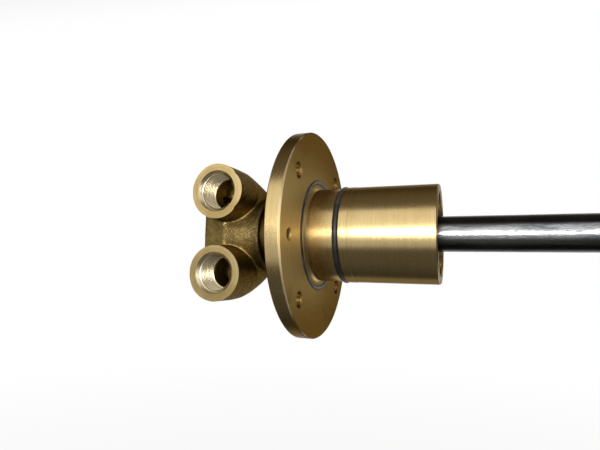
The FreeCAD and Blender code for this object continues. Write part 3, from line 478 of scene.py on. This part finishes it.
def makeMachined(name, look):
    material, tree, shader = newMaterial(name)
    place = placeAboutPort(tree) if look["aboutPort"] else objectPlace(tree)
    marks = useGroup(tree, turnedMarks, Place=place, Fine=look["fineRings"], Coarse=look["coarseRings"])
    both = mathNode(tree, "ADD", rangeNode(tree, marks["Coarse Rings"], *machinedTone["rings"]),
                    rangeNode(tree, marks["Cloud"], *machinedTone["cloud"]))
    colour = mixColour(tree, mathNode(tree, "MULTIPLY", both, 0.5), rgba(look["deep"]), rgba(look["bright"]))
    wire(tree, shadeEdges(tree, colour, look), shader.inputs["Base Color"])
    spread = mathNode(tree, "MULTIPLY", mathNode(tree, "SUBTRACT", marks["Fine Rings"], 0.5),
                      look["ringSpread"] * 2)
    wire(tree, mathNode(tree, "ADD", look["roughness"], spread), shader.inputs["Roughness"])
    shader.inputs["Metallic"].default_value = 1.0
    addBump(tree, shader, marks["Fine Rings"], look["bump"])
    return material


portBrass = makeMachined("portFaceBrass", machinedLooks["face"])
threadBrass = makeMachined("portThreadBrass", machinedLooks["thread"])
neckBrassPaintedShade = makeMachined("neckBrassPaintedShade", machinedLooks["neck"])

# Steels, rubber and carbon

# painted edge shade of the steels, a little cooler in tint
steelEdgeShade = {"shade": {"From": 0.06, "To": 0.65, "Least": 0.6}, "tint": (0.94, 0.97, 1.0)}
steelTone = {"patch": (0.38, 0.64), "patchShare": 0.6, "scratch": (0.35, 0.65), "scratchShare": 0.4}
steelLooks = {
    "pipe": {"light": (0.62, 0.64, 0.68), "dark": (0.12, 0.125, 0.135), "roughness": 0.09, "spread": 0.26,
             "stretch": (0.12, 1.0, 1.0), "scale": 2000.0, "bump": 0.00006,
             "shade": {"From": 0.01, "To": 0.26, "Least": 0.16}},
    "turned": {"light": (0.58, 0.58, 0.57), "dark": (0.40, 0.40, 0.40), "roughness": 0.30, "spread": 0.14,
               "stretch": (1.0, 0.12, 0.12), "scale": 2600.0, "bump": 0.000008},
    "lapped": {"light": (0.66, 0.66, 0.67), "dark": (0.54, 0.54, 0.55), "roughness": 0.14, "spread": 0.08,
               "stretch": (1.0, 0.2, 0.2), "scale": 2600.0, "bump": 0.000003},
    "ground": {"light": (0.66, 0.66, 0.66), "dark": (0.52, 0.52, 0.52), "roughness": 0.12, "spread": 0.06,
               "stretch": (1.0, 0.2, 0.2), "scale": 2400.0, "bump": 0.000002},
    "wire": {"light": (0.46, 0.46, 0.47), "dark": (0.30, 0.30, 0.31), "roughness": 0.34, "spread": 0.12,
             "stretch": (0.4, 1.0, 1.0), "scale": 1800.0, "bump": 0.000008},
    "black": {"light": (0.07, 0.068, 0.066), "dark": (0.028, 0.027, 0.026), "roughness": 0.42, "spread": 0.12,
              "stretch": (1.0, 1.0, 1.0), "scale": 1500.0, "bump": 0.000010},
}


def makeSteel(name, look):
    material, tree, shader = newMaterial(name)
    wear = useGroup(tree, fineWear, Place=objectPlace(tree), Stretch=look["stretch"], Scale=look["scale"])
    patch = rangeNode(tree, wear["Patch"], *steelTone["patch"])
    scratch = rangeNode(tree, wear["Scratch"], *steelTone["scratch"])
    tone = mathNode(tree, "ADD", mathNode(tree, "MULTIPLY", patch, steelTone["patchShare"]),
                    mathNode(tree, "MULTIPLY", scratch, steelTone["scratchShare"]))
    colour = mixColour(tree, tone, rgba(look["dark"]), rgba(look["light"]))
    colour = shadeEdges(tree, colour, dict(steelEdgeShade, **look))
    wire(tree, colour, shader.inputs["Base Color"])
    dull = mathNode(tree, "MULTIPLY", mathNode(tree, "SUBTRACT", 1.0, tone), look["spread"])
    wire(tree, mathNode(tree, "ADD", look["roughness"], dull), shader.inputs["Roughness"])
    shader.inputs["Metallic"].default_value = 1.0
    addBump(tree, shader, wear["Scratch"], look["bump"])
    return material


softLooks = {
    "rubber": {"base": (0.014, 0.014, 0.015), "worn": (0.045, 0.045, 0.047), "roughness": (0.38, 0.54),
               "scale": 900.0, "bump": 0.00003},
    "carbon": {"base": (0.035, 0.035, 0.038), "worn": (0.075, 0.075, 0.08), "roughness": (0.44, 0.60),
               "scale": 1600.0, "bump": 0.00001},
}
softTone = {"patch": (0.40, 0.66), "scratch": (0.3, 0.7)}


def makeDull(name, look):
    material, tree, shader = newMaterial(name)
    wear = useGroup(tree, fineWear, Place=objectPlace(tree), Stretch=(1.0, 1.0, 1.0), Scale=look["scale"])
    tone = rangeNode(tree, wear["Patch"], *softTone["patch"])
    wire(tree, mixColour(tree, tone, rgba(look["base"]), rgba(look["worn"])), shader.inputs["Base Color"])
    wire(tree, rangeNode(tree, wear["Scratch"], *softTone["scratch"], *look["roughness"]),
         shader.inputs["Roughness"])
    addBump(tree, shader, wear["Scratch"], look["bump"])
    return material


copperLook = dict(brassLook, bright=(0.80, 0.42, 0.26), deep=(0.55, 0.24, 0.12), tarnish=(0.25, 0.11, 0.06))
cageLook = dict(brassLook, roughness=0.26)

materialOfSlot = {
    "turned_brass": makeTurnedBrass("turnedBrass", brassLook),
    "cast_bronze": makeCastBronze("castBronze", castLook),
    "polished_steel": makeSteel("polishedPipe", steelLooks["pipe"]),
    "machined_steel": makeSteel("turnedSteel", steelLooks["turned"]),
    "lapped_steel": makeSteel("lappedSteel", steelLooks["lapped"]),
    "bearing_steel": makeSteel("groundSteel", steelLooks["ground"]),
    "cage_brass": makeTurnedBrass("cageBrass", cageLook),
    "spring_steel": makeSteel("springWire", steelLooks["wire"]),
    "blackened_steel": makeSteel("blackSteel", steelLooks["black"]),
    "gasket_copper": makeTurnedBrass("gasketCopper", copperLook),
    "carbon_graphite": makeDull("carbonGraphite", softLooks["carbon"]),
    "black_rubber": makeDull("blackRubber", softLooks["rubber"]),
}
slotOfNode = {part["node"]: part["material_slot"] for part in frame["record"]["subparts"]}

for name, item in nodes.items():
    material = materialOfSlot[slotOfNode[name]]
    if not item.material_slots:
        item.data.materials.append(material)
    for place in item.material_slots:
        place.material = material
print("stage: materials on", len(nodes), "nodes")


# Helpers for meshes

# Turns the object's modifiers into its mesh
def applyModifiers(item):
    seen = item.evaluated_get(bpy.context.evaluated_depsgraph_get())
    mesh = bpy.data.meshes.new_from_object(seen)
    item.modifiers.clear()
    item.data = mesh
    return mesh


def readVectors(mesh, name):
    values = np.empty(len(mesh.vertices) * 3)
    mesh.vertices.foreach_get(name, values)
    return values.reshape(-1, 3)


def writePoints(mesh, points):
    mesh.vertices.foreach_set("co", points.ravel())
    mesh.update()


def newObject(name, data):
    item = bpy.data.objects.new(name, data)
    scene.collection.objects.link(item)
    return item


def shadeSmooth(mesh, sharpFrom):
    mesh.shade_smooth()
    mesh.set_sharp_from_angle(angle=math.radians(sharpFrom))


# Adds a closed turned shell to a bmesh; the outline holds (along, outward, material) rows
def latheShell(shell, outline, toPlace, steps=128):
    angles = [2 * math.pi * k / steps for k in range(steps)]
    rows = []
    for along, outward, _ in outline:
        if outward == 0.0:
            rows.append([shell.verts.new(toPlace(along, 0.0, 0.0))])
        else:
            rows.append([shell.verts.new(toPlace(along, outward * math.cos(a), outward * math.sin(a)))
                         for a in angles])
    for (_, _, slot), row, following in zip(outline, rows, rows[1:] + rows[:1]):
        for k in range(steps):
            n = (k + 1) % steps
            ring = [row[k % len(row)], row[n % len(row)],
                    following[n % len(following)], following[k % len(following)]]
            corners = list(dict.fromkeys(ring))
            if len(corners) > 2:
                shell.faces.new(corners).material_index = slot


# Section of a thread's ridge, as (along, outward) pairs, from a wide foot to a narrow tip
def ridgeProfile(foot, tip, halfFoot, halfTip):
    return [(-halfFoot, foot), (-halfTip, tip), (halfTip, tip), (halfFoot, foot)]


# Adds a closed thread ridge to a bmesh
def helixRidge(shell, start, end, pitch, profile, toPlace, slot, steps):
    count = int(abs(end - start) / pitch * steps)
    way = 1 if end > start else -1
    rings = []
    for k in range(count + 1):
        angle = 2 * math.pi * k / steps
        centre = start + way * pitch * k / steps
        rings.append([shell.verts.new(toPlace(centre + along, outward * math.cos(angle),
                                              outward * math.sin(angle)))
                      for along, outward in profile])
    size = len(profile)
    for ring, following in zip(rings, rings[1:]):
        for k in range(size):
            n = (k + 1) % size
            shell.faces.new((ring[k], ring[n], following[n], following[k])).material_index = slot
    shell.faces.new(rings[0]).material_index = slot
    shell.faces.new(rings[-1]).material_index = slot


def finishShell(shell, name):
    bmesh.ops.recalc_face_normals(shell, faces=shell.faces)
    mesh = bpy.data.meshes.new(name)
    shell.to_mesh(mesh)
    shell.free()
    return newObject(name, mesh)


# The cast head: the solid's own form with soft creases, a sandy skin and freshly cut ports

headShape = {
    "voxel": 0.00075,
    "softenFactor": 0.5,
    "softenTimes": 8,
    "sharpFrom": 38.0,
    "faceDepth": -0.045,
    "faceSkin": 0.0012,          # what lies this near the port faces moves out with them
    "spare": 0.002,              # casting allowance that the facing cut takes off
    "facingDepth": 0.006,
    "facingRadius": 0.028,
    "mouthRadius": 0.01475,
    "minorRadius": 0.01212,
    "majorRadius": 0.01318,
    "threadEnd": -0.0270,
    "tapCone": 0.0012,
    "cavityRadius": 0.01085,
    "pitch": 0.001814,
    "ridgeShort": 0.0004,        # of the thread's end
    "ridgePast": 0.0006,         # the port's face
    "ridgeFoot": 0.0003,         # below the minor radius
    "halfFoot": 0.00072,
    "halfTip": 0.00012,
    "threadSteps": 60,
    "neckRadius": 0.02435,
    "neckChamfer": 0.0008,
    "hubEnd": -0.0372,
    "neckEnd": -0.0179,
    "neckPast": 0.004,
    "neckOuter": 0.035,
}
skinShape = {
    "noises": ((0.00022, 70.0, (0.0, 0.0, 0.0)),    # height, rate and shift of a slow swell,
               (0.00010, 260.0, (3.1, 0.0, 0.0)),   # a ripple
               (0.00004, 800.0, (0.0, 7.7, 0.0))),  # and grit
    "lowerSwell": 0.0003,
    "lowerFrom": 0.012,
    "lowerOver": 0.02,
}
bossShape = {                    # the upper boss is a little out of round
    "from": -0.034,
    "over": 0.006,
    "bulge": 0.0007,
    "bulgeWidth": 22.0,          # in degrees, as dentTurns and dentWidth are
    "dent": 0.0006,
    "dentTurns": (38.0, -37.0),
    "dentWidth": 5.0,
}
faceSlot, threadSlot, neckSlot = 1, 2, 3    # after the casting's own material, which is 0


# Turns (along, across, up) about a port's axis into the object's frame
def portPlace(side):
    return lambda along, across, up: (portAxis["along"] + across, along, side * portAxis["height"] + up)


def axisPlace(along, across, up):
    return (along, across, up)


def makeCutters(look):
    core = bmesh.new()
    ridge = bmesh.new()
    face, end, minor, mouth = (look[key] for key in ("faceDepth", "threadEnd", "minorRadius", "mouthRadius"))
    profile = ridgeProfile(minor - look["ridgeFoot"], look["majorRadius"], look["halfFoot"], look["halfTip"])
    for side in (1, -1):
        place = portPlace(side)
        latheShell(core, [
            (face - look["facingDepth"], 0.0, faceSlot),
            (face - look["facingDepth"], look["facingRadius"], faceSlot),
            (face, look["facingRadius"], faceSlot),
            (face, mouth, threadSlot),
            (face + mouth - minor, minor, threadSlot),
            (end, minor, threadSlot),
            (end + look["tapCone"], look["cavityRadius"] - look["tapCone"], threadSlot),
            (end + look["tapCone"], 0.0, threadSlot),
        ], place)
        helixRidge(ridge, end - look["ridgeShort"], face - look["ridgePast"], look["pitch"], profile,
                   place, threadSlot, look["threadSteps"])
    neck, neckEnd, chamfer = look["neckRadius"], look["neckEnd"], look["neckChamfer"]
    latheShell(core, [
        (look["hubEnd"], neck, neckSlot),
        (neckEnd - chamfer, neck, neckSlot),
        (neckEnd, neck - chamfer, neckSlot),
        (neckEnd + look["neckPast"], neck - chamfer, neckSlot),
        (neckEnd + look["neckPast"], look["neckOuter"], neckSlot),
        (look["hubEnd"], look["neckOuter"], neckSlot),
    ], axisPlace)
    return finishShell(core, "portTools"), finishShell(ridge, "threadTools")


def cut(item, tool, finishes):
    for part in (item, tool):
        if not part.data.materials:
            for finish in finishes:
                part.data.materials.append(finish)
    step = item.modifiers.new("cut", "BOOLEAN")
    step.operation = "DIFFERENCE"
    step.solver = "EXACT"
    step.object = tool
    bpy.context.view_layer.update()
    applyModifiers(item)
    bpy.data.objects.remove(tool)


def bossLift(place, look):
    if place.y >= look["from"] or place.z <= 0.0:
        return 0.0
    turn = math.degrees(math.atan2(place.z - portAxis["height"], place.x - portAxis["along"]))
    fade = min(1.0, (look["from"] - place.y) / look["over"])
    bulge = look["bulge"] * math.exp(-(turn / look["bulgeWidth"]) ** 4)
    dents = look["dent"] * sum(math.exp(-((turn - at) / look["dentWidth"]) ** 2) for at in look["dentTurns"])
    return fade * (bulge - dents)


# Moves each point of the casting along its normal, as sand and shrinkage would leave it
def castSkin(points, normals, look):
    noises = [(height, rate, Vector(shift)) for height, rate, shift in look["noises"]]
    out = points.copy()
    for index, (point, normal) in enumerate(zip(points, normals)):
        place = Vector(point)
        lift = sum(height * noise.noise(place * rate + shift) for height, rate, shift in noises)
        lift += look["lowerSwell"] * min(1.0, max(0.0, (-place.z - look["lowerFrom"]) / look["lowerOver"]))
        lift += bossLift(place, bossShape)
        out[index] = point + normal * lift
    return out


def makeCastHead(look):
    mesh = nodes["port_head"].data.copy()
    mesh.materials.clear()
    head = newObject("castHead", mesh)
    remesh = head.modifiers.new("remesh", "REMESH")
    remesh.mode = "VOXEL"
    remesh.voxel_size = look["voxel"]
    mesh = applyModifiers(head)
    points = readVectors(mesh, "co")
    points[points[:, 1] < look["faceDepth"] + look["faceSkin"], 1] -= look["spare"]
    writePoints(mesh, points)
    smooth = head.modifiers.new("soften", "SMOOTH")
    smooth.factor = look["softenFactor"]
    smooth.iterations = look["softenTimes"]
    mesh = applyModifiers(head)
    mesh.materials.clear()
    writePoints(mesh, castSkin(readVectors(mesh, "co"), readVectors(mesh, "normal"), skinShape))
    print("stage: casting blank,", len(mesh.polygons), "faces")
    for tool in makeCutters(look):
        cut(head, tool, (materialOfSlot["cast_bronze"], portBrass, threadBrass, neckBrassPaintedShade))
    shadeSmooth(head.data, look["sharpFrom"])
    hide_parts("port_head")
    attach(head, "stator")
    print("stage: cast head,", len(head.data.polygons), "faces")


makeCastHead(headShape)

# The seal's spring, as its own mesh on the stator


def makeSealSpring():
    spring = newObject("sealSpring", nodes["seal_spring"].data.copy())
    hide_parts("seal_spring")
    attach(spring, "stator")
    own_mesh(spring)


makeSealSpring()
print("stage: seal spring")

# Threads in the two jacking holes

jackThread = {
    "circle": 0.060,
    "turn": 3.2,
    "radius": 0.00345,
    "depth": 0.00042,
    "pitch": 0.00125,
    "halfFoot": 0.0004,
    "halfTip": 0.00006,
    "from": -0.0101,
    "to": -0.0012,
    "steps": 36,
    "sharpFrom": 30.0,
}


def makeJackThreads(look):
    shell = bmesh.new()
    profile = ridgeProfile(look["radius"], look["radius"] - look["depth"], look["halfFoot"], look["halfTip"])
    for side in (0, 180):
        angle = math.radians(look["turn"] + side)
        centre = (look["circle"] * math.cos(angle), look["circle"] * math.sin(angle))
        helixRidge(shell, look["from"], look["to"], look["pitch"], profile,
                   lambda along, across, up: (along, centre[0] + across, centre[1] + up), 0, look["steps"])
    threads = finishShell(shell, "jackThreads")
    threads.data.materials.append(materialOfSlot["turned_brass"])
    shadeSmooth(threads.data, look["sharpFrom"])
    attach(threads, "rotor")


makeJackThreads(jackThread)
print("stage: jacking threads")

# Camera, at the photograph's place

photoCamera = {
    "place": (0.10513, -0.31738, -0.00428),
    "yaw": -20.807,
    "pitch": 2.035,
    "roll": -0.203,
    "tilt": 3.2,                 # the whole view is turned this far about the part's axis
    "lens": 26.98,
    "sensor": 36.0,
    "nearest": 0.01,
    "furthest": 50.0,
}


def aimCamera(shot):
    yaw, pitch, roll = (math.radians(shot[key]) for key in ("yaw", "pitch", "roll"))
    forward = Vector((math.sin(yaw) * math.cos(pitch), math.cos(yaw) * math.cos(pitch), math.sin(pitch)))
    across = Vector((math.cos(yaw), -math.sin(yaw), 0.0))
    up = across.cross(forward)
    right = math.cos(roll) * across + math.sin(roll) * up
    top = -math.sin(roll) * across + math.cos(roll) * up
    tilt = Matrix.Rotation(math.radians(shot["tilt"]), 3, "X")
    turn = Matrix((tilt @ right, tilt @ top, tilt @ -forward)).transposed()
    data = bpy.data.cameras.new("photoCamera")
    data.lens = shot["lens"]
    data.sensor_width = shot["sensor"]
    data.clip_start = shot["nearest"]
    data.clip_end = shot["furthest"]
    camera = newObject("photoCamera", data)
    camera.matrix_world = Matrix.Translation(tilt @ Vector(shot["place"])) @ turn.to_4x4()
    scene.camera = camera


aimCamera(photoCamera)

# Light: a wide soft panel above the camera, a small one beside the lens and a fill from below

lightLook = {
    "panel": {"place": (0.06, -0.62, 0.345), "size": (1.7, 0.70), "power": 3.4, "colour": (1.0, 0.985, 0.95)},
    "flash": {"place": (0.1, -0.40, 0.009), "size": (0.34, 0.10), "power": 0.98, "colour": (1.0, 0.99, 0.97)},
    "fill": {"place": (0.06, -0.64, -0.195), "size": (1.7, 0.37), "power": 0.98, "colour": (1.0, 0.98, 0.94)},
}
lightAim = (0.02, 0.0, 0.0)


def addPanel(name, look):
    data = bpy.data.lights.new(name, "AREA")
    data.shape = "RECTANGLE"
    data.size, data.size_y = look["size"]
    data.energy = look["power"]
    data.color = look["colour"]
    lamp = newObject(name, data)
    lamp.location = look["place"]
    lamp.rotation_euler = (Vector(lightAim) - Vector(look["place"])).to_track_quat("-Z", "Y").to_euler()
    lamp.visible_camera = False


for name, look in lightLook.items():
    addPanel(name, look)

# Room: a white backdrop as the photograph has, dim walls elsewhere, and a floor well below the part

roomLook = {
    "viewPoint": (0.105, -0.317, -0.022),
    "backdropMiddle": (-8.5, 1.5),        # turn from +Y and rise, in degrees
    "backdropReach": (47.5, 29.5),        # half width and half height, in degrees
    "backdropEdge": (14.0, 26.0, 22.0, 10.0),  # over which it fades: right, left, above, below
    "horizon": (0.22, 0.20, 0.165),
    "zenith": (0.130, 0.108, 0.078),
    "zenithRise": (0.10, 0.75),           # from the horizon's colour to the zenith's, up or down
    "behind": (0.150, 0.122, 0.086),
    "behindDepth": (-0.35, 0.25),         # along Y, from the camera's side to the wall behind the part
}
floorLook = {
    "height": -0.45,
    "halfSize": 12.0,
    "colour": (0.15, 0.145, 0.135),
    "paleColour": (0.80, 0.80, 0.79),     # of the floor inside the pale backdrop
    "shadowReach": (0.9, 2.2),            # from the view point; nearer than this it keeps the shadow
    "shadowShare": 0.08,
}
white = (1.0, 1.0, 1.0)


# One inside the pale backdrop, a wide rectangle as seen from the view point
def backdropMask(tree, direction, look):
    turn, rise = (math.radians(angle) for angle in look["backdropMiddle"])
    forward = Vector((math.sin(turn) * math.cos(rise), math.cos(turn) * math.cos(rise), math.sin(rise)))
    right = Vector((math.cos(turn), -math.sin(turn), 0.0))
    up = right.cross(forward)
    reach = [math.radians(angle) for angle in look["backdropReach"] for _ in (0, 1)]
    mask = 1.0
    for side, angle, edge in zip((right, -right, up, -up), reach, look["backdropEdge"]):
        normal = side * math.cos(angle) - forward * math.sin(angle)
        outside = vectorNode(tree, "DOT_PRODUCT", direction, tuple(normal))
        inside = rangeNode(tree, outside, 0.0, math.sin(math.radians(edge)), 1.0, 0.0)
        mask = mathNode(tree, "MULTIPLY", mask, inside)
    return mask


def makeRoom(look):
    world = bpy.data.worlds.new("room")
    scene.world = world
    world.use_nodes = True
    tree = world.node_tree
    tree.nodes.clear()
    direction = tree.nodes.new("ShaderNodeTexCoord").outputs["Generated"]
    _, ahead, up = separate(tree, direction)
    steep = rangeNode(tree, mathNode(tree, "ABSOLUTE", up), *look["zenithRise"])
    colour = mixColour(tree, steep, rgba(look["horizon"]), rgba(look["zenith"]))
    colour = mixColour(tree, rangeNode(tree, ahead, *look["behindDepth"]), colour, rgba(look["behind"]))
    colour = mixColour(tree, backdropMask(tree, direction, look), colour, rgba(white))
    shade = addNode(tree, "ShaderNodeBackground", Color=colour)
    output = tree.nodes.new("ShaderNodeOutputWorld")
    tree.links.new(shade.outputs[0], output.inputs[0])


def makeFloor(look):
    size = look["halfSize"]
    mesh = bpy.data.meshes.new("floor")
    corners = [(x * size, y * size, look["height"]) for x, y in ((-1, -1), (1, -1), (1, 1), (-1, 1))]
    mesh.from_pydata(corners, [], [(0, 1, 2, 3)])
    floor = newObject("floor", mesh)
    material = bpy.data.materials.new("paleFloor")
    material.use_nodes = True
    tree = material.node_tree
    tree.nodes.clear()
    offset = vectorNode(tree, "SUBTRACT", objectPlace(tree), roomLook["viewPoint"])
    direction = vectorNode(tree, "NORMALIZE", offset)
    rays = tree.nodes.new("ShaderNodeLightPath").outputs
    seen = mathNode(tree, "ADD", mathNode(tree, "ADD", rays["Is Camera Ray"], rays["Is Glossy Ray"]),
                    rays["Is Transmission Ray"], clamp=True)
    pale = mathNode(tree, "MULTIPLY", backdropMask(tree, direction, roomLook), seen)
    paint = addNode(tree, "ShaderNodeBsdfDiffuse",
                    Color=mixColour(tree, pale, rgba(look["colour"]), rgba(look["paleColour"])))
    glow = addNode(tree, "ShaderNodeEmission", Color=rgba(white), Strength=1.0)
    away = vectorNode(tree, "LENGTH", offset)
    share = rangeNode(tree, away, *look["shadowReach"], 1.0 - look["shadowShare"], 1.0)
    mix = tree.nodes.new("ShaderNodeMixShader")
    wire(tree, mathNode(tree, "MULTIPLY", pale, share), mix.inputs[0])
    tree.links.new(paint.outputs[0], mix.inputs[1])
    tree.links.new(glow.outputs[0], mix.inputs[2])
    output = tree.nodes.new("ShaderNodeOutputMaterial")
    tree.links.new(mix.outputs[0], output.inputs[0])
    mesh.materials.append(material)


makeRoom(roomLook)
makeFloor(floorLook)
scene.view_settings.view_transform = "Standard"
print("stage: camera, lights, room and floor")
